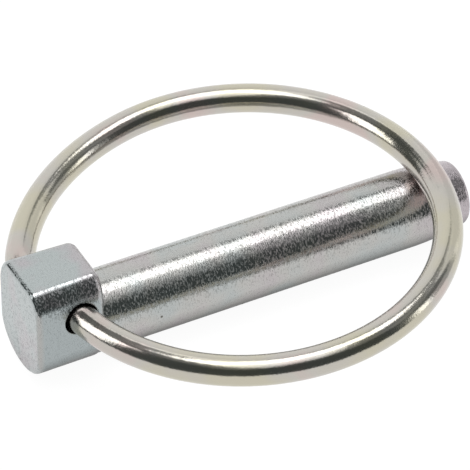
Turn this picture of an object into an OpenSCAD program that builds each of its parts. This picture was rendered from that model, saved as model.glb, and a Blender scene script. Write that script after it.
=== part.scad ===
// Linch pin with a spring ring.
// Millimetres, +Z up, +X along the shank towards the tip.
// The origin is on the shank's axis, in the plane of the head's shoulder.
// Change the sizes in the first sections; the rest follows from them.

/* [Shank] */
// Diameter of the round shank
shank_d = 10; // [8:0.5:16]
// Clear length from the head's shoulder to the inside of the closed ring
use_len = 44.25; // [35:0.25:80]
// How far the tip stands past the middle of the ring's wire
tip_over = 5.5; // [4:0.1:10]
// Length of the lead-in taper at the tip
taper_len = 4.6; // [1:0.1:5]
// Amount the radius falls along the taper
taper_drop = 0.8; // [0.2:0.05:1.5]
// Amount the radius eases off under the ring, before the taper
ease_drop = 0.1; // [0.05:0.01:0.2]
// Chamfer round the end of the tip
tip_chamfer = 0.25; // [0.1:0.05:0.6]

/* [Head] */
// Length of the head along the pin
head_len = 9.3; // [8.5:0.1:14]
// How far each side of the head stands proud of the shank
head_side = 0.12; // [0.08:0.02:1]
// How far the head stands up above the shank
head_top = 3.95; // [3.5:0.05:8]
// How far the flat under the head stands below the shank
head_foot = 0.02; // [0.01:0.01:0.06]
// Radius of the two long edges on top
top_edge_r = 3.4; // [1.5:0.1:3.7]
// Radius round the end face
end_edge_r = 0.6; // [0.2:0.05:1]
// Radius round the shoulder
shoulder_edge_r = 1.2; // [0.5:0.1:1.4]

/* [Cross hole] */
// Difference between the diameters of the hole and the wire
hole_play = 0.66; // [0.5:0.02:1]
// Distance of the hole's middle from the shoulder
hole_inset = 4.5; // [4.3:0.1:5]
// Height of the hole's middle above the shank's axis
hole_rise = 4.4; // [3.5:0.05:5.5]
// Slant of the hole in plan, in degrees
hole_slant = 12.4; // [11:0.2:15]

/* [Ring] */
// Diameter of the ring's wire
wire_d = 3.76; // [2.5:0.02:4.2]
// How far the ring has slid along the hole, towards the near mouth
ring_slide = 0.4; // [0:0.05:0.8]
// Lean of the ring across the pin in the play of the hole, in degrees
ring_lean = 1.8; // [0:0.1:2.2]
// Turn of the plain circle, counted from the near mouth of the hole, in degrees
circle_turn = 270; // [250:1:280]
// How much wider than the circle the far limb is bent, in radius
far_wider = 6.8; // [5:0.1:9]
// Radius of the bend at the far mouth, to the middle of the wire
bend_r = 4.5; // [4.3:0.1:6]
// Gap between the two ends of the wire, inside the hole
end_gap = 1; // [0.4:0.1:2]
// Clearance left between the closed ring and the shank
seat_gap = 0.06; // [0.02:0.01:0.2]

/* [Hidden] */
$fn = 96;
// hairline between two joined lengths of the wire, as a share of its diameter
seam_share = 0.003;
// radius of the core that carries the wire across a joint, as a share of the wire's radius
core_share = 0.8;
// how far the root of the shank stands proud at its two ends, as shares of the head's own overhang
root_shares = [0.75, 0.5];
zinc = [0.74, 0.76, 0.77];
bright_zinc = [0.80, 0.80, 0.78];
shank_r = shank_d / 2;
wire_r = wire_d / 2;
head_half = shank_r + head_side;
head_up = shank_r + head_top;
head_down = shank_r + head_foot;
top_axis_y = head_half - top_edge_r;
top_axis_z = head_up - top_edge_r;
hole_d = wire_d + hole_play;
// cuts run this far past the faces they go through
overrun = wire_d;
hole_len = 2 * (head_half + overrun) / cos(hole_slant);
shank_len = use_len + wire_r + tip_over;
ease_len = wire_r + tip_over - taper_len;
ease_r = shank_r - ease_drop;
taper_r = shank_r - taper_drop;
// radius of the shank under the middle of the ring's wire
rest_r = shank_r - ease_drop * wire_r / ease_len;
// middle of the wire where the closed ring crosses over the shank, seen from the middle of the hole
cross_x = hole_inset + use_len + wire_r - ring_slide * sin(hole_slant);
cross_z = rest_r + wire_r + seat_gap - hole_rise;
reach = norm([cross_x, cross_z]);
ring_rise = atan2(cross_z, cross_x);
// the circle touches the line of the wire's near end, so its radius follows from the reach
ring_r = reach / (1 + 1 / cos(hole_slant));
near_len = ring_r * tan(hole_slant);
far_r = ring_r + far_wider;
// the far limb ends where the bend can lead the wire back onto the line of the near end
far_cos = (ring_r - bend_r + (far_r - ring_r) * cos(circle_turn)) / (far_r - bend_r);
bend_turn = acos(far_cos);
far_turn = 360 - circle_turn - bend_turn;
// straight length left between the bend and the gap's middle, from closing the chain along the hole
far_len = (far_r - ring_r) * sin(circle_turn) + (far_r - bend_r) * sin(bend_turn) - near_len;
// seam and core of a joint between two lengths of the wire
seam = wire_d * seam_share;
core_r = wire_r * core_share;

// Outline of the head from its middle out to one face: x outwards, y along the pin.
module rim(out) {
    square([out - shoulder_edge_r, head_len]);
    square([out - end_edge_r, head_len - shoulder_edge_r]);
    translate([0, end_edge_r])
        square([out, head_len - end_edge_r - shoulder_edge_r]);
    translate([out - end_edge_r, end_edge_r])
        circle(r = end_edge_r);
    translate([out - shoulder_edge_r, head_len - shoulder_edge_r])
        circle(r = shoulder_edge_r);
}

// Part of the head between two rounded edges, from its middle up to the top face.
module web(half, out) {
    translate([-half, 0, 0])
        rotate([90, 0, 90])
            linear_extrude(height = 2 * half)
                rim(out);
}

// Two rounded long edges on top, with the rims of both ends carried round them.
module long_edges() {
    for (side = [0, 1])
        mirror([side, 0, 0])
            translate([top_axis_y, top_axis_z, 0])
                rotate_extrude(angle = 90)
                    rim(top_edge_r);
}

// Two flat sides, from the shank's axis up to the rounded edges.
module cheeks() {
    for (side = [0, 1])
        mirror([side, 0, 0])
            translate([0, top_axis_z, 0])
                rotate([90, 0, 0])
                    linear_extrude(height = top_axis_z)
                        rim(head_half);
}

// Flared root of the shank, which fills the rounded shoulder where the shank leaves the head.
module root() {
    translate([0, 0, head_len - 2 * shoulder_edge_r])
        cylinder(h = 2 * shoulder_edge_r, r1 = shank_r + head_side * root_shares[0],
            r2 = shank_r + head_side * root_shares[1]);
}

// Forged head: drawn with x across, y up and z along the pin, then laid along the pin.
module head() {
    translate([-head_len, 0, 0])
        rotate([90, 0, 90])
            difference() {
                union() {
                    web(top_axis_y, head_up);
                    long_edges();
                    cheeks();
                    rotate([0, 0, 180])
                        rotate_extrude(angle = 180)
                            rim(head_half);
                    root();
                }
                translate([-head_half, -head_down - head_half, -overrun])
                    cube([2 * head_half, head_half, head_len + 2 * overrun]);
            }
}

// Round shank with a tapered and chamfered tip, rooted inside the head.
module shank() {
    rotate([0, 90, 0])
        rotate_extrude()
            polygon([
                [0, -head_len / 2],
                [shank_r, -head_len / 2],
                [shank_r, use_len],
                [ease_r, shank_len - taper_len],
                [taper_r, shank_len - tip_chamfer],
                [taper_r - tip_chamfer, shank_len],
                [0, shank_len]
            ]);
}

// Head and shank in one piece, with the cross hole drilled through the head.
module pin() {
    color(zinc)
        difference() {
            union() {
                head();
                shank();
            }
            translate([-hole_inset, 0, hole_rise])
                rotate([90, 0, hole_slant])
                    cylinder(h = hole_len, d = hole_d, center = true);
        }
}

// Core across the joint at the start of a length of the wire, which runs along +Y.
module wire_core() {
    rotate([90, 0, 0])
        cylinder(h = wire_r, r = core_r, center = true);
}

// Straight length of the wire along +Y; what follows starts at its end.
module wire_straight(len) {
    translate([0, seam / 2, 0])
        rotate([-90, 0, 0])
            cylinder(h = len - seam, d = wire_d);
    translate([0, len, 0])
        children();
}

// Bent length of the wire that starts along +Y and turns left; what follows starts at its end.
module wire_bend(r, turn) {
    seam_turn = asin(seam / 2 / r);
    wire_core();
    translate([-r, 0, 0]) {
        rotate([0, 0, seam_turn])
            rotate_extrude(angle = turn - 2 * seam_turn)
                translate([r, 0])
                    circle(d = wire_d);
        rotate([0, 0, turn])
            translate([r, 0, 0])
                children();
    }
}

// Last length of the wire, straight back into the hole.
module wire_tail(len) {
    wire_core();
    wire_straight(len);
}

// Spring ring: one length of wire, drawn flat from its near end round to its far end, then laid on the shank.
module spring_ring() {
    color(bright_zinc)
        translate([-hole_inset, 0, hole_rise])
            rotate([ring_lean, 0, 0])
                rotate([0, -ring_rise, 0])
                    rotate([0, 0, 180 + hole_slant])
                        translate([0, ring_slide + end_gap / 2, 0])
                            wire_straight(near_len - end_gap / 2)
                                wire_bend(ring_r, circle_turn)
                                    wire_bend(far_r, far_turn)
                                        wire_bend(bend_r, bend_turn)
                                            wire_tail(far_len - end_gap / 2);
}

pin();
spring_ring();
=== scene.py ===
"""Linch pin: the forged pin and its spring ring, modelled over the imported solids, and their stage."""

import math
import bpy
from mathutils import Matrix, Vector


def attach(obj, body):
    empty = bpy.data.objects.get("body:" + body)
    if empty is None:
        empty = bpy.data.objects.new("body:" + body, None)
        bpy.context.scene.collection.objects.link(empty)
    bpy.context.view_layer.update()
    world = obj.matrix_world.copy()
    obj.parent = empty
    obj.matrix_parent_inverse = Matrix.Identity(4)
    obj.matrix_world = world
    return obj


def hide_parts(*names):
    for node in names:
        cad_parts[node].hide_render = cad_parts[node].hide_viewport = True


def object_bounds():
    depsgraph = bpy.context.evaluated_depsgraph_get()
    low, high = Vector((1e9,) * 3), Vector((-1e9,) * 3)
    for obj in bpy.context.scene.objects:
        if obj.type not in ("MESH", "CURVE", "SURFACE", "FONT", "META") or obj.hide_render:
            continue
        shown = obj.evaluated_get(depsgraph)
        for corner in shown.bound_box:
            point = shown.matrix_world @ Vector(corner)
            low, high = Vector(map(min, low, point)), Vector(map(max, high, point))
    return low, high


bl_info = {
    "name": "Linch Pin",
    "version": (1, 0, 0),
    "blender": (4, 5, 0),
    "location": "3D View > Sidebar > Linch Pin",
    "description": "Models a zinc-plated linch pin with its spring ring, and lights it on a white floor",
    "category": "Object",
}

import bmesh
import bpy
from bpy.props import FloatProperty, FloatVectorProperty, PointerProperty
from mathutils import Matrix, Vector

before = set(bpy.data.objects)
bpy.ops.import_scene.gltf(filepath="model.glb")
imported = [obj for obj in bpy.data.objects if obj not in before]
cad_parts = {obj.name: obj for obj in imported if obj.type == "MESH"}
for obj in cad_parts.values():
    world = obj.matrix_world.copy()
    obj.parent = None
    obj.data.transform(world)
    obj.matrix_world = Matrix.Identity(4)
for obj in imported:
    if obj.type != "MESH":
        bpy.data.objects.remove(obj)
CAD_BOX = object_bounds()

# Pieces are modelled with one unit to the millimetre, where the mesh tools are exact, and then brought to
# metres.
MM = 1000.0
# Two points closer than this, in millimetres, are the same point.
TINY = 1e-3
# Points that a cut leaves this close together, in millimetres, are merged.
MERGE = TINY / 5
# An edge is on the hole's mouth if its ends are this close to the hole's wall, in millimetres, and the
# surface turns by more than this at it.
MOUTH_OFF, MOUTH_TURN = 0.01, math.radians(35)
# Flats round the shank, the hole and the wire.
SHANK_FLATS, HOLE_FLATS, WIRE_FLATS = 144, 96, 40
# Turns of a surface that are sharper than this stay crisp in the shading.
PIN_CRISP, WIRE_CRISP = math.radians(32), math.radians(40)

# Sockets of a mix node that hold its two colours, and the one that gives the mixed colour.
MIX_A, MIX_B, MIX_OUT = 6, 7, 2

# The camera's place in metres, and what is right and up in its picture.
CAMERA_AT = (-0.13291, -0.28563, 0.26939)
CAMERA_RIGHT, CAMERA_UP = Vector((0.88458, -0.46632, 0.00799)), Vector((0.28958, 0.56259, 0.77436))
# Ways that the lights face.
DOWN, NEARER, RIGHTWARD = (0.0, 0.0, -1.0), (0.0, -1.0, 0.0), (1.0, 0.0, 0.0)
# The side of the floor, in metres.
FLOOR_SIZE = 8.0


def linear(code):
    """The linear colour of an sRGB hex value."""
    parts = [int(code[i : i + 2], 16) / 255 for i in (1, 3, 5)]
    return tuple(c / 12.92 if c <= 0.04045 else ((c + 0.055) / 1.055) ** 2.4 for c in parts)


def opaque(tone):
    """A colour as a socket takes it."""
    return (*tone, 1.0)


WHITE = opaque(linear("#FFFFFF"))


def length(name, description, default):
    """A length of the object, in metres, given in millimetres."""
    return FloatProperty(
        name=name, description=description, default=default / MM, min=0.0, precision=5, unit="LENGTH"
    )


def angle(name, description, default):
    """An angle, in radians, given in degrees."""
    return FloatProperty(name=name, description=description, default=math.radians(default), subtype="ANGLE")


def colour(name, description, code):
    """A colour, given as an sRGB hex value."""
    return FloatVectorProperty(
        name=name, description=description, default=linear(code), size=3, min=0.0, max=1.0, subtype="COLOR"
    )


def brightness(name, description, default):
    """A brightness, where 1 looks white."""
    return FloatProperty(name=name, description=description, default=default, min=0.0)


class LinchPinSizes(bpy.types.PropertyGroup):
    """Sizes of the forged pin."""

    shank_d: length("Shank Diameter", "Diameter of the plain round shank", 10.0)
    clear_len: length("Clear Length", "From the head's shoulder to the inside of the closed ring", 44.25)
    shank_len: length("Shank Length", "From the head's shoulder to the end of the tip", 51.63)
    ease_drop: length("Ease", "Fall of the radius under the ring, before the taper", 0.1)
    taper_len: length("Taper Length", "Length of the taper at the tip", 4.6)
    taper_drop: length("Taper Drop", "Fall of the radius along the taper", 0.8)
    tip_chamfer: length("Tip Chamfer", "Chamfer round the end of the tip", 0.25)
    ease_soft: length("Soft Ease", "Width of the soft turn into the taper", 1.6)
    taper_soft: length("Soft Taper", "Width of the soft turn from the taper into its chamfer", 0.22)
    tip_soft: length("Soft Tip", "Width of the soft turn from the chamfer into the end of the tip", 0.1)
    head_len: length("Head Length", "Length of the head along the pin", 9.3)
    head_side: length("Head Overhang", "How far each side of the head stands proud of the shank", 0.12)
    head_top: length("Head Rise", "How far the head stands up above the shank", 3.95)
    head_foot: length("Head Foot", "How far the flat under the head stands below the shank", 0.02)
    head_flare: length("Head Flare", "How much further each side stands out at the head's end", 0.5)
    head_lift: length("Head Lift", "How far the underside rises towards the head's end", 0.42)
    top_chamfer: length("Top Chamfer", "Width of the soft chamfers along the head's two top edges", 1.82)
    chamfer_side: length("Chamfer Side", "Width of the rounding between a chamfer and the head's side", 1.74)
    chamfer_top: length("Chamfer Top", "Width of the rounding between a chamfer and the head's top", 0.45)
    end_edge: length("End Edge Radius", "Radius round the head's end face", 0.6)
    shoulder_edge: length("Shoulder Edge Radius", "Radius round the head's shoulder", 1.2)
    hole_d: length("Hole Diameter", "Diameter of the cross hole", 4.3)
    hole_inset: length("Hole Inset", "Distance of the wire's line in the hole from the shoulder", 4.5)
    hole_rise: length("Hole Rise", "Height of the wire's line in the hole above the shank's axis", 4.4)
    hole_slant: angle("Hole Slant", "Slant of the cross hole in plan", 12.4)
    hole_low: length("Hole Drop", "How far the hole lies below the line of the wire", 0.1)
    hole_back: length("Hole Setback", "How far the hole lies behind the line of the wire", 0.1)
    hole_break: length("Hole Edge", "Width of the broken edge round the hole's mouths", 0.15)


class LinchRingSizes(bpy.types.PropertyGroup):
    """Sizes of the spring ring."""

    wire_d: length("Wire Diameter", "Diameter of the spring wire", 3.74)
    slide: length("Slide", "How far the ring has slid along the hole, towards the near mouth", 0.4)
    cross_rise: length("Crossing Rise", "Height of the wire's middle where it crosses the shank", 6.872)
    ring_lean: angle("Ring Lean", "Lean of the closed ring across the pin", 1.8)
    circle_turn: angle("Circle Turn", "Turn of the plain circle", 270.0)
    far_wider: length("Far Limb", "How much wider than the circle the far limb is bent", 6.8)
    bend_r: length("Bend Radius", "Radius of the bend at the far mouth of the hole", 4.5)
    end_gap: length("End Gap", "Gap between the wire's two ends, inside the hole", 1.0)
    end_chamfer: length("End Chamfer", "Chamfer on the wire's two cut ends", 0.3)


class LinchFinish(bpy.types.PropertyGroup):
    """Colours of the zinc plate."""

    plate: colour("Plate", "Bright zinc plate on the shank", "#B6B5B2")
    plate_green: colour("Plate, Green Cast", "Where the film over the plate turns it blue-green", "#AEB4B4")
    plate_mauve: colour("Plate, Mauve Cast", "Where the film over the plate turns it mauve", "#B5ACB0")
    # a painted reflection: the warm strip along the head's upright end edges
    painted_edge_reflection: colour("Plate, Edge", "Where the film is warm along the head's upright edges", "#AFA9A4")
    # a darker colour on the two sides of the head
    plate_side: colour("Plate, Sides", "Duller plate on the two sides of the head", "#A2A9AA")
    # painted shade: the dark colour along the pin's underside, where it lies in the floor's shadow
    underside: colour("Underside", "Dull dark film along the underside of the pin", "#2E2E2C")
    pit: colour("Pit", "Bare steel in a pit of the plate", "#5E5B55")
    wire: colour("Wire", "Bright zinc plate on drawn wire", "#BDB9B2")
    wire_straw: colour("Wire, Straw Cast", "Where the film turns the wire straw-coloured", "#C0BBAA")
    wire_pink: colour("Wire, Pink Cast", "Where the film turns the wire pink", "#C3B5B0")


class LinchStage(bpy.types.PropertyGroup):
    """The floor, the lights and the camera."""

    floor: colour("Floor", "Shade of the floor under its own light", "#5E5E5E")
    glow: brightness("Glow", "Brightness of the floor's own light", 0.95)
    softbox: brightness("Softbox", "Brightness of the overhead softbox", 2.8)
    backdrop: brightness("Backdrop", "Brightness of the far backdrop", 1.0)
    room: colour("Room", "Shade of the dark room in front of the stage", "#4B504F")
    lens: FloatProperty(
        name="Lens", description="Focal length of the camera", default=260.33, min=1.0, unit="CAMERA"
    )


def add(tree, kind, inputs=None, **settings):
    """Adds a node with its settings; an input given as a socket is linked, any other value is set."""
    made = tree.nodes.new(kind)
    for name, value in settings.items():
        setattr(made, name, value)
    for name, value in (inputs or {}).items():
        if isinstance(value, bpy.types.NodeSocket):
            tree.links.new(value, made.inputs[name])
        else:
            made.inputs[name].default_value = value
    return made


def new_material(name):
    """A material and its empty node tree."""
    made = bpy.data.materials.new(name)
    made.use_nodes = True
    made.node_tree.nodes.clear()
    return made, made.node_tree


def plated_forging(finish):
    """Bright zinc plate over forged steel, drawn and tumbled.

    The plate is a mirror cut up by fine marks that run across the pin, so a highlight's edge is ragged and a
    dark reflection is speckled, while a flat face looks plain and matte. A thin film gives it green and mauve
    casts. A warm strip along the head's upright end edges is a painted reflection, the head's sides are
    darker, and painted shade darkens the underside.
    """
    made, tree = new_material("zinc_plated_forging")
    place = add(tree, "ShaderNodeTexCoord").outputs["Object"]
    # marks across the pin, drawn as coarse as 0.17 mm by 0.36 mm so that they show
    across = add(tree, "ShaderNodeMapping", {"Vector": place, "Scale": (MM / 0.17, MM / 0.36, MM / 0.36)})
    marks = add(
        tree,
        "ShaderNodeTexNoise",
        {"Vector": across.outputs[0], "Scale": 1.0, "Detail": 2.0, "Roughness": 0.6},
    ).outputs[0]
    # unevenness of the forging, 3 mm across
    swell = add(tree, "ShaderNodeTexNoise", {"Vector": place, "Scale": MM / 3.0, "Detail": 1.0})
    waved = add(
        tree, "ShaderNodeBump", {"Height": swell.outputs[0], "Strength": 1.0, "Distance": 0.03 / MM}
    )
    marked = add(
        tree,
        "ShaderNodeBump",
        {"Height": marks, "Strength": 1.0, "Distance": 0.024 / MM, "Normal": waved.outputs[0]},
    )
    # the plate is dull in the bottom of the marks
    dull = add(
        tree,
        "ShaderNodeMapRange",
        {"Value": marks, "From Min": 0.47, "From Max": 0.62, "To Min": 0.1, "To Max": 0.5},
    )
    # where a point lies along the pin, how far out from its middle plane and how high
    point = add(tree, "ShaderNodeSeparateXYZ", {"Vector": place})
    x, z = point.outputs["X"], point.outputs["Z"]
    apart = add(tree, "ShaderNodeMath", {0: point.outputs["Y"]}, operation="ABSOLUTE").outputs[0]
    # the film is green in clouds of 6 mm, and blue-green all over the head, which starts at the shoulder
    clouds = add(tree, "ShaderNodeTexNoise", {"Vector": place, "Scale": MM / 6.0, "Detail": 2.0}).outputs[0]
    green = add(
        tree,
        "ShaderNodeMapRange",
        {"Value": clouds, "From Min": 0.5, "From Max": 0.65, "To Min": 0.0, "To Max": 0.7},
    ).outputs[0]
    headward = add(
        tree,
        "ShaderNodeMapRange",
        {"Value": x, "From Min": 1.0 / MM, "From Max": -1.5 / MM, "To Min": green, "To Max": 1.0},
    ).outputs[0]
    # it is mauve between those clouds, and most of all at the tip
    tipward = add(
        tree,
        "ShaderNodeMapRange",
        {"Value": x, "From Min": 43.0 / MM, "From Max": 48.0 / MM, "To Min": 0.0, "To Max": 0.9},
    ).outputs[0]
    mauve = add(
        tree,
        "ShaderNodeMapRange",
        {"Value": clouds, "From Min": 0.5, "From Max": 0.35, "To Min": tipward, "To Max": 0.6},
    ).outputs[0]
    # the colour is darker on the two sides of the head
    beside = add(
        tree,
        "ShaderNodeMapRange",
        {"Value": apart, "From Min": 4.9 / MM, "From Max": 5.1 / MM, "To Min": 0.0, "To Max": 1.0},
    ).outputs[0]
    flank = add(
        tree,
        "ShaderNodeMapRange",
        {"Value": x, "From Min": 0.0, "From Max": -1.0 / MM, "To Min": 0.0, "To Max": beside},
    ).outputs[0]
    # painted reflection: a warm strip along the two upright edges of the head's end
    outward = add(
        tree,
        "ShaderNodeMapRange",
        {"Value": apart, "From Min": 4.8 / MM, "From Max": 5.3 / MM, "To Min": 0.0, "To Max": 0.5},
    ).outputs[0]
    edge = add(
        tree,
        "ShaderNodeMapRange",
        {"Value": x, "From Min": -8.5 / MM, "From Max": -9.0 / MM, "To Min": 0.0, "To Max": outward},
    ).outputs[0]
    # painted shade: dark along the underside, where the pin lies in the floor's shadow, and only a little on
    # the end
    inward = add(
        tree,
        "ShaderNodeMapRange",
        {"Value": x, "From Min": -9.2 / MM, "From Max": -8.4 / MM, "To Min": 0.12, "To Max": 1.0},
    ).outputs[0]
    low = add(
        tree,
        "ShaderNodeMapRange",
        {"Value": z, "From Min": -0.2 / MM, "From Max": -5.1 / MM, "To Min": 0.0, "To Max": inward},
    ).outputs[0]
    # one small pit on the near side of the shank
    pit_at = (7.4 / MM, -5.0 / MM, 0.2 / MM)
    away = add(tree, "ShaderNodeVectorMath", {0: place, 1: pit_at}, operation="DISTANCE")
    pitted = add(
        tree,
        "ShaderNodeMapRange",
        {
            "Value": away.outputs["Value"],
            "From Min": 0.22 / MM,
            "From Max": 0.1 / MM,
            "To Min": 0.0,
            "To Max": 1.0,
        },
    ).outputs[0]
    # each of these lies over the one before
    skin = opaque(finish.plate)
    for share, tone in (
        (headward, finish.plate_green),
        (mauve, finish.plate_mauve),
        (flank, finish.plate_side),
        (edge, finish.painted_edge_reflection),
        # painted shade along the underside
        (low, finish.underside),
        (pitted, finish.pit),
    ):
        layer = {"Factor": share, MIX_A: skin, MIX_B: opaque(tone)}
        skin = add(tree, "ShaderNodeMix", layer, data_type="RGBA").outputs[MIX_OUT]
    # painted shade also takes the shine from the edge of the underside, where plate would shine the most
    painted_rim_shade = add(
        tree,
        "ShaderNodeMix",
        {"Factor": low, MIX_A: WHITE, MIX_B: opaque(finish.underside)},
        data_type="RGBA",
    )
    metal = add(
        tree,
        "ShaderNodeBsdfPrincipled",
        {
            "Base Color": skin,
            "Metallic": 1.0,
            "Specular Tint": painted_rim_shade.outputs[MIX_OUT],
            "Roughness": dull.outputs[0],
            "Normal": marked.outputs[0],
        },
    )
    add(tree, "ShaderNodeOutputMaterial", {"Surface": metal.outputs[0]})
    return made


def plated_wire(finish):
    """Bright zinc plate over drawn spring wire.

    Drawing leaves the wire smooth, so the reflections are clear bands along it, only a little uneven, and the
    thin film over the plate gives them straw and pink casts.
    """
    made, tree = new_material("zinc_plated_wire")
    place = add(tree, "ShaderNodeTexCoord").outputs["Object"]
    # ripples left by bending, 2 mm across
    ripple = add(tree, "ShaderNodeTexNoise", {"Vector": place, "Scale": MM / 2.0, "Detail": 1.0})
    rippled = add(
        tree, "ShaderNodeBump", {"Height": ripple.outputs[0], "Strength": 1.0, "Distance": 0.03 / MM}
    )
    # grains of the plate, 0.25 mm across
    grains = add(tree, "ShaderNodeTexNoise", {"Vector": place, "Scale": MM / 0.25, "Detail": 2.0})
    grained = add(
        tree,
        "ShaderNodeBump",
        {"Height": grains.outputs[0], "Strength": 1.0, "Distance": 0.01 / MM, "Normal": rippled.outputs[0]},
    )
    # casts of the film, in clouds of 9 mm
    clouds = add(tree, "ShaderNodeTexNoise", {"Vector": place, "Scale": MM / 9.0, "Detail": 2.0}).outputs[0]
    skin = opaque(finish.wire)
    for start, end, tone in ((0.48, 0.6, finish.wire_straw), (0.46, 0.36, finish.wire_pink)):
        share = add(
            tree,
            "ShaderNodeMapRange",
            {"Value": clouds, "From Min": start, "From Max": end, "To Min": 0.0, "To Max": 1.0},
        )
        layer = {"Factor": share.outputs[0], MIX_A: skin, MIX_B: opaque(tone)}
        skin = add(tree, "ShaderNodeMix", layer, data_type="RGBA").outputs[MIX_OUT]
    metal = add(
        tree,
        "ShaderNodeBsdfPrincipled",
        {"Base Color": skin, "Metallic": 1.0, "Roughness": 0.17, "Normal": grained.outputs[0]},
    )
    add(tree, "ShaderNodeOutputMaterial", {"Surface": metal.outputs[0]})
    return made


def lit_table(stage):
    """Matt table lit from below: white all over, with only a trace of shadow close under the pin."""
    made, tree = new_material("lit_white_table")
    board = add(
        tree,
        "ShaderNodeBsdfPrincipled",
        {
            "Base Color": opaque(stage.floor),
            "Roughness": 0.9,
            "Specular IOR Level": 0.0,
            "Emission Color": WHITE,
            "Emission Strength": stage.glow,
        },
    )
    add(tree, "ShaderNodeOutputMaterial", {"Surface": board.outputs[0]})
    return made


def begin(name):
    """Names the new primitive, puts its place into its mesh and opens it for editing."""
    piece = bpy.context.object
    piece.name = piece.data.name = name
    bpy.ops.object.transform_apply(location=True, rotation=True, scale=True)
    bpy.ops.object.mode_set(mode="EDIT")
    return piece


def pick(piece, kind, test):
    """Selects the edges or faces that pass the test, in edit mode."""
    bpy.ops.mesh.select_mode(type={"edges": "EDGE", "faces": "FACE"}[kind])
    bpy.ops.mesh.select_all(action="DESELECT")
    mesh = bmesh.from_edit_mesh(piece.data)
    count = 0
    for item in getattr(mesh, kind):
        if test(item):
            item.select_set(True)
            count += 1
    bmesh.update_edit_mesh(piece.data)
    if not count:
        raise RuntimeError(f"{piece.name}: no {kind} where they were expected")


def ends(edge):
    """The two ends of an edge."""
    return edge.verts[0].co, edge.verts[1].co


def soften(width, steps):
    """Rounds the selected edges over a width, in a number of steps."""
    bpy.ops.mesh.bevel(offset=width, segments=steps, profile=0.5, affect="EDGES", clamp_overlap=False)


def face_out():
    """Turns all the faces outwards."""
    bpy.ops.mesh.select_all(action="SELECT")
    bpy.ops.mesh.normals_make_consistent(inside=False)


def use(piece):
    """Makes the piece the only one selected, and the active one."""
    bpy.ops.object.select_all(action="DESELECT")
    piece.select_set(True)
    bpy.context.view_layer.objects.active = piece


def combine(piece, tool, operation):
    """Joins the tool to the piece, or cuts it out of the piece, and removes the tool."""
    use(piece)
    bpy.ops.object.modifier_add(type="BOOLEAN")
    step = piece.modifiers[-1]
    step.operation = operation
    step.solver = "EXACT"
    step.object = tool
    bpy.ops.object.modifier_apply(modifier=step.name)
    bpy.data.objects.remove(tool)


def complete(piece, body, node, material, crisp):
    """Brings a piece to metres, smooths its shading, gives it its material and hangs it on its body."""
    use(piece)
    piece.scale = (1 / MM, 1 / MM, 1 / MM)
    bpy.ops.object.transform_apply(location=True, rotation=True, scale=True)
    bpy.ops.object.shade_smooth_by_angle(angle=crisp)
    bpy.ops.object.modifier_add(type="WEIGHTED_NORMAL")
    piece.modifiers[-1].keep_sharp = True
    bpy.ops.object.modifier_apply(modifier=piece.modifiers[-1].name)
    piece.data.materials.clear()
    piece.data.materials.append(material)
    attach(piece, body)
    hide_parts(node)


def forge_head(s):
    """The head: a flared block, soft chamfers on top, a round underside with a small flat, and soft rims."""
    long, half = s.head_len * MM, (s.shank_d / 2 + s.head_side) * MM
    up, down = (s.shank_d / 2 + s.head_top) * MM, (s.shank_d / 2 + s.head_foot) * MM
    cut = s.top_chamfer * MM
    bpy.ops.object.select_all(action="DESELECT")
    bpy.ops.mesh.primitive_cube_add(
        size=1.0, location=(-long / 2, 0.0, (up - half) / 2), scale=(long, 2 * half, up + half)
    )
    head = begin("forged_pin")

    def runs_along(edge, out, height):
        a, b = ends(edge)
        return abs(a.x - b.x) > long / 2 and abs(abs(a.y) - out) < TINY and abs(a.z - height) < TINY

    # the two top edges get a chamfer with a rounding below and above it, and the two lower ones a full round
    for out, height, width, steps in (
        (half, up, cut, 1),
        (half, up - cut, s.chamfer_side * MM, 10),
        (half - cut, up, s.chamfer_top * MM, 8),
        (half, -half, half - TINY, 24),
    ):
        pick(head, "edges", lambda e: runs_along(e, out, height))
        soften(width, steps)
    # the end is flared, and its underside lifted
    end = (-long, 0.0, 0.0)
    pick(head, "faces", lambda f: all(abs(v.co.x + long) < TINY for v in f.verts))
    bpy.ops.transform.resize(value=(1.0, 1 + s.head_flare * MM / half, 1.0), center_override=end)
    pick(head, "edges", lambda e: all(abs(c.x + long) < TINY and c.z < TINY for c in ends(e)))
    bpy.ops.transform.resize(value=(1.0, 1.0, 1 - s.head_lift * MM / half), center_override=end)
    # the small flat that the pin lies on
    bpy.ops.mesh.select_all(action="SELECT")
    bpy.ops.mesh.bisect(
        plane_co=(0.0, 0.0, -down), plane_no=(0.0, 0.0, 1.0), use_fill=True, clear_inner=True, threshold=TINY
    )
    for at, radius, steps in ((-long, s.end_edge * MM, 5), (0.0, s.shoulder_edge * MM, 7)):
        pick(head, "edges", lambda e: all(abs(c.x - at) < TINY for c in ends(e)))
        soften(radius, steps)
    bpy.ops.object.mode_set(mode="OBJECT")
    return head


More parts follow.
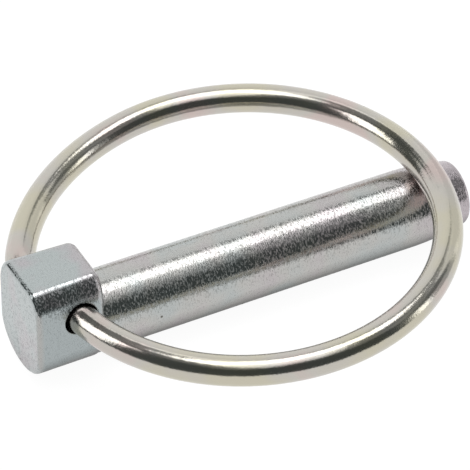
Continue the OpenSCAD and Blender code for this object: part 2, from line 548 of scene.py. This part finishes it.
def draw_shank(s):
    """The shank: a round drawn out of the head, eased under the ring, tapered and rounded at its tip."""
    r, far = s.shank_d / 2 * MM, s.shank_len * MM
    start = -s.head_len / 2 * MM
    ease_x, chamfer = far - s.taper_len * MM, s.tip_chamfer * MM
    ease_r, taper_r = r - s.ease_drop * MM, r - s.taper_drop * MM
    bpy.ops.object.select_all(action="DESELECT")
    bpy.ops.mesh.primitive_circle_add(
        vertices=SHANK_FLATS,
        radius=r,
        fill_type="NGON",
        location=(start, 0.0, 0.0),
        rotation=(0.0, math.pi / 2, 0.0),
    )
    shank = begin("shank")
    bpy.ops.mesh.select_all(action="SELECT")
    x, radius = start, r
    for next_x, next_r in (
        (s.clear_len * MM, r),
        (ease_x, ease_r),
        (far - chamfer, taper_r),
        (far, taper_r - chamfer),
    ):
        bpy.ops.mesh.extrude_region_move(TRANSFORM_OT_translate={"value": (next_x - x, 0.0, 0.0)})
        k = next_r / radius
        bpy.ops.transform.resize(value=(1.0, k, k), center_override=(next_x, 0.0, 0.0))
        x, radius = next_x, next_r
    # soften the turns of the tip's outline
    for at, width, steps in (
        (ease_x, s.ease_soft, 6),
        (far - chamfer, s.taper_soft, 3),
        (far, s.tip_soft, 2),
    ):
        pick(shank, "edges", lambda e: all(abs(c.x - at) < TINY for c in ends(e)))
        soften(width * MM, steps)
    face_out()
    bpy.ops.object.mode_set(mode="OBJECT")
    return shank


def hole_middle(s):
    """The middle of the cross hole."""
    return Vector((-s.hole_inset - s.hole_back, 0.0, s.hole_rise - s.hole_low)) * MM


def drill(s):
    """The drill for the cross hole."""
    bpy.ops.object.select_all(action="DESELECT")
    bpy.ops.mesh.primitive_cylinder_add(
        vertices=HOLE_FLATS,
        radius=s.hole_d / 2 * MM,
        depth=2 * s.shank_d * MM,
        location=hole_middle(s),
        rotation=(math.pi / 2, 0.0, s.hole_slant),
    )
    tool = begin("drill")
    bpy.ops.object.mode_set(mode="OBJECT")
    return tool


class LINCH_OT_pin(bpy.types.Operator):
    """Forge the head, draw the shank out of it and drill the cross hole"""

    bl_idname = "linch.pin"
    bl_label = "Forged Pin"

    def execute(self, context):
        s = context.scene.linch_pin
        piece = forge_head(s)
        combine(piece, draw_shank(s), "UNION")
        combine(piece, drill(s), "DIFFERENCE")
        bpy.ops.object.mode_set(mode="EDIT")
        bpy.ops.mesh.select_all(action="SELECT")
        bpy.ops.mesh.remove_doubles(threshold=MERGE)
        # break the edges round the hole's two mouths
        axis = Vector((math.sin(s.hole_slant), -math.cos(s.hole_slant), 0.0))
        middle = hole_middle(s)

        def round_mouth(edge):
            for c in ends(edge):
                d = c - middle
                if abs((d - axis * d.dot(axis)).length - s.hole_d / 2 * MM) > MOUTH_OFF:
                    return False
            return len(edge.link_faces) == 2 and edge.calc_face_angle() > MOUTH_TURN

        pick(piece, "edges", round_mouth)
        soften(s.hole_break * MM, 3)
        face_out()
        bpy.ops.object.mode_set(mode="OBJECT")
        plate = plated_forging(context.scene.linch_finish)
        complete(piece, "pin", "pin", plate, PIN_CRISP)
        return {"FINISHED"}


class LINCH_OT_ring(bpy.types.Operator):
    """Draw the wire out of the hole and bend it round the pin and back into the hole"""

    bl_idname = "linch.ring"
    bl_label = "Spring Ring"

    def execute(self, context):
        s, pin = context.scene.linch_ring, context.scene.linch_pin
        wire_r, bend_r = s.wire_d / 2 * MM, s.bend_r * MM
        slant, slide = pin.hole_slant, s.slide * MM
        pivot = Vector((-pin.hole_inset, 0.0, pin.hole_rise)) * MM
        over = (pin.hole_inset + pin.clear_len) * MM + wire_r - slide * math.sin(slant)
        rise = (s.cross_rise - pin.hole_rise) * MM
        reach, climb = math.hypot(over, rise), math.atan2(rise, over)
        # the circle touches the line of the wire's ends, and the far limb's bend leads back onto that line
        ring_r = reach / (1 + 1 / math.cos(slant))
        near_len = ring_r * math.tan(slant)
        far_r = ring_r + s.far_wider * MM
        wider = far_r - ring_r
        bend_turn = math.acos((ring_r - bend_r + wider * math.cos(s.circle_turn)) / (far_r - bend_r))
        far_turn = 2 * math.pi - s.circle_turn - bend_turn
        far_len = wider * math.sin(s.circle_turn) + (far_r - bend_r) * math.sin(bend_turn) - near_len
        half_gap = s.end_gap / 2 * MM

        bpy.ops.object.select_all(action="DESELECT")
        bpy.ops.mesh.primitive_circle_add(
            vertices=WIRE_FLATS,
            radius=wire_r,
            location=(0.0, slide + half_gap, 0.0),
            rotation=(math.pi / 2, 0.0, 0.0),
        )
        piece = begin("spring_wire_ring")
        bpy.ops.mesh.select_all(action="SELECT")
        at, heading = Vector((0.0, slide + near_len, 0.0)), 0.0
        bpy.ops.mesh.extrude_region_move(TRANSFORM_OT_translate={"value": (0.0, near_len - half_gap, 0.0)})
        for radius, turn, steps in (
            (ring_r, s.circle_turn, 220),
            (far_r, far_turn, 52),
            (bend_r, bend_turn, 22),
        ):
            centre = at + radius * Vector((-math.cos(heading), -math.sin(heading), 0.0))
            bpy.ops.mesh.spin(steps=steps, angle=-turn, center=centre, axis=(0.0, 0.0, 1.0))
            heading += turn
            at = centre + radius * Vector((math.cos(heading), math.sin(heading), 0.0))
        run = (far_len - half_gap) * Vector((-math.sin(heading), math.cos(heading), 0.0))
        bpy.ops.mesh.extrude_region_move(TRANSFORM_OT_translate={"value": run})
        bpy.ops.mesh.select_all(action="SELECT")
        bpy.ops.mesh.remove_doubles(threshold=TINY)
        bpy.ops.mesh.fill_holes(sides=0)
        face_out()
        # the wire's cut ends, the only faces with more than four corners, have a small chamfer
        pick(piece, "edges", lambda e: any(len(f.verts) > 4 for f in e.link_faces))
        soften(s.end_chamfer * MM, 2)
        bpy.ops.object.mode_set(mode="OBJECT")
        if (at + run - Vector((0.0, slide - half_gap, 0.0))).length > TINY:
            raise RuntimeError("the wire's far end doesn't come back into the hole")

        turned = Matrix.Rotation(s.ring_lean, 4, "X") @ Matrix.Rotation(-climb, 4, "Y")
        turned = turned @ Matrix.Rotation(math.pi + slant, 4, "Z")
        piece.matrix_world = Matrix.Translation(pivot) @ turned
        use(piece)
        bpy.ops.object.transform_apply(location=True, rotation=True, scale=True)
        plate = plated_wire(context.scene.linch_finish)
        complete(piece, "ring", "spring_ring", plate, WIRE_CRISP)
        return {"FINISHED"}


class LINCH_OT_stage(bpy.types.Operator):
    """Lay the white floor, set up the soft lights and the camera"""

    bl_idname = "linch.stage"
    bl_label = "Stage"

    def execute(self, context):
        s, scene = context.scene.linch_stage, context.scene
        foot = CAD_BOX[0][2]
        bpy.ops.object.select_all(action="DESELECT")
        bpy.ops.mesh.primitive_plane_add(size=FLOOR_SIZE, location=(0.0, 0.0, foot))
        floor = bpy.context.object
        floor.name = floor.data.name = "floor"
        floor.data.materials.append(lit_table(s))

        # name, middle, the way it faces, width and height, brightness; the last four are turned to the pin
        panels = (
            ("softbox", (0.115, 0.0175, 0.60), DOWN, 0.57, 0.205, s.softbox),
            ("softbox_far", (0.185, 0.15, 0.60), DOWN, 0.43, 0.06, s.softbox),
            ("softbox_far_tail", (0.08, 0.28, 0.60), DOWN, 0.10, 0.20, 1.1),
            ("softbox_far_fade", (0.215, 0.265, 0.60), DOWN, 0.17, 0.17, 0.35),
            ("softbox_near", (0.02, -0.1725, 0.60), DOWN, 0.39, 0.175, 1.4),
            ("softbox_near_fade", (0.02, -0.33, 0.60), DOWN, 0.39, 0.14, 0.75),
            ("ceiling", (0.20, -0.07, 0.61), DOWN, 1.10, 0.85, 0.16),
            ("side_softbox", (-0.20, 0.066, 0.158), RIGHTWARD, 0.11, 0.24, 2.6),
            ("backdrop", (0.20, 0.55, 0.31), NEARER, 0.74, 0.62, s.backdrop),
            ("backdrop_left", (-0.285, 0.55, 0.23), NEARER, 0.23, 0.46, s.backdrop),
            ("backdrop_fade", (0.31, 0.55, 0.80), NEARER, 0.52, 0.36, 0.9),
            ("right_backdrop", (0.65, 0.276, 0.35), (-0.65, -0.276, 0.0), 0.55, 0.70, 0.8),
            ("right_card", (0.675, -0.185, 0.13), (-0.675, 0.185, 0.0), 0.60, 0.26, 0.42),
            ("right_card_fade", (0.675, -0.185, 0.49), (-0.675, 0.185, 0.0), 0.60, 0.46, 0.1),
            ("right_strip", (1.34, -0.674, 0.35), (-1.34, 0.674, 0.0), 0.25, 0.70, 1.9),
        )
        for name, middle, facing, width, height, level in panels:
            bpy.ops.object.light_add(type="AREA", location=middle)
            light = bpy.context.object
            light.name = light.data.name = name
            light.rotation_euler = Vector(facing).normalized().to_track_quat("-Z", "Y").to_euler()
            light.data.shape = "RECTANGLE"
            light.data.size, light.data.size_y = width, height
            # a panel's brightness is its power over its area and pi
            light.data.energy = level * math.pi * width * height

        world = bpy.data.worlds.new("studio")
        world.use_nodes = True
        tree = world.node_tree
        tree.nodes.clear()
        dome = add(tree, "ShaderNodeBackground", {"Color": opaque(s.room), "Strength": 1.0})
        add(tree, "ShaderNodeOutputWorld", {"Surface": dome.outputs[0]})
        scene.world = world
        scene.view_settings.view_transform = "Standard"

        bpy.ops.object.camera_add(location=CAMERA_AT)
        camera = bpy.context.object
        camera.name = camera.data.name = "camera"
        back = CAMERA_RIGHT.cross(CAMERA_UP)
        camera.rotation_euler = Matrix((CAMERA_RIGHT, CAMERA_UP, back)).transposed().to_euler()
        camera.data.sensor_width = 36.0
        camera.data.lens = s.lens
        camera.data.clip_start, camera.data.clip_end = 0.01, 20.0
        scene.camera = camera
        return {"FINISHED"}


class LINCH_PT_panel(bpy.types.Panel):
    """Linch pin pieces"""

    bl_idname = "LINCH_PT_panel"
    bl_label = "Linch Pin"
    bl_space_type = "VIEW_3D"
    bl_region_type = "UI"
    bl_category = "Linch Pin"

    def draw(self, context):
        layout = self.layout
        for title, group, operator in (
            ("Pin", context.scene.linch_pin, "linch.pin"),
            ("Ring", context.scene.linch_ring, "linch.ring"),
            ("Finish", context.scene.linch_finish, None),
            ("Stage", context.scene.linch_stage, "linch.stage"),
        ):
            box = layout.box()
            box.label(text=title)
            for name in group.__annotations__:
                box.prop(group, name)
            if operator:
                box.operator(operator)


CLASSES = (
    LinchPinSizes,
    LinchRingSizes,
    LinchFinish,
    LinchStage,
    LINCH_OT_pin,
    LINCH_OT_ring,
    LINCH_OT_stage,
    LINCH_PT_panel,
)


def register():
    for item in CLASSES:
        bpy.utils.register_class(item)
    bpy.types.Scene.linch_pin = PointerProperty(type=LinchPinSizes)
    bpy.types.Scene.linch_ring = PointerProperty(type=LinchRingSizes)
    bpy.types.Scene.linch_finish = PointerProperty(type=LinchFinish)
    bpy.types.Scene.linch_stage = PointerProperty(type=LinchStage)


def unregister():
    for name in ("linch_pin", "linch_ring", "linch_finish", "linch_stage"):
        delattr(bpy.types.Scene, name)
    for item in reversed(CLASSES):
        bpy.utils.unregister_class(item)


def main():
    register()
    bpy.ops.linch.pin()
    bpy.ops.linch.ring()
    bpy.ops.linch.stage()


if __name__ == "__main__":
    main()
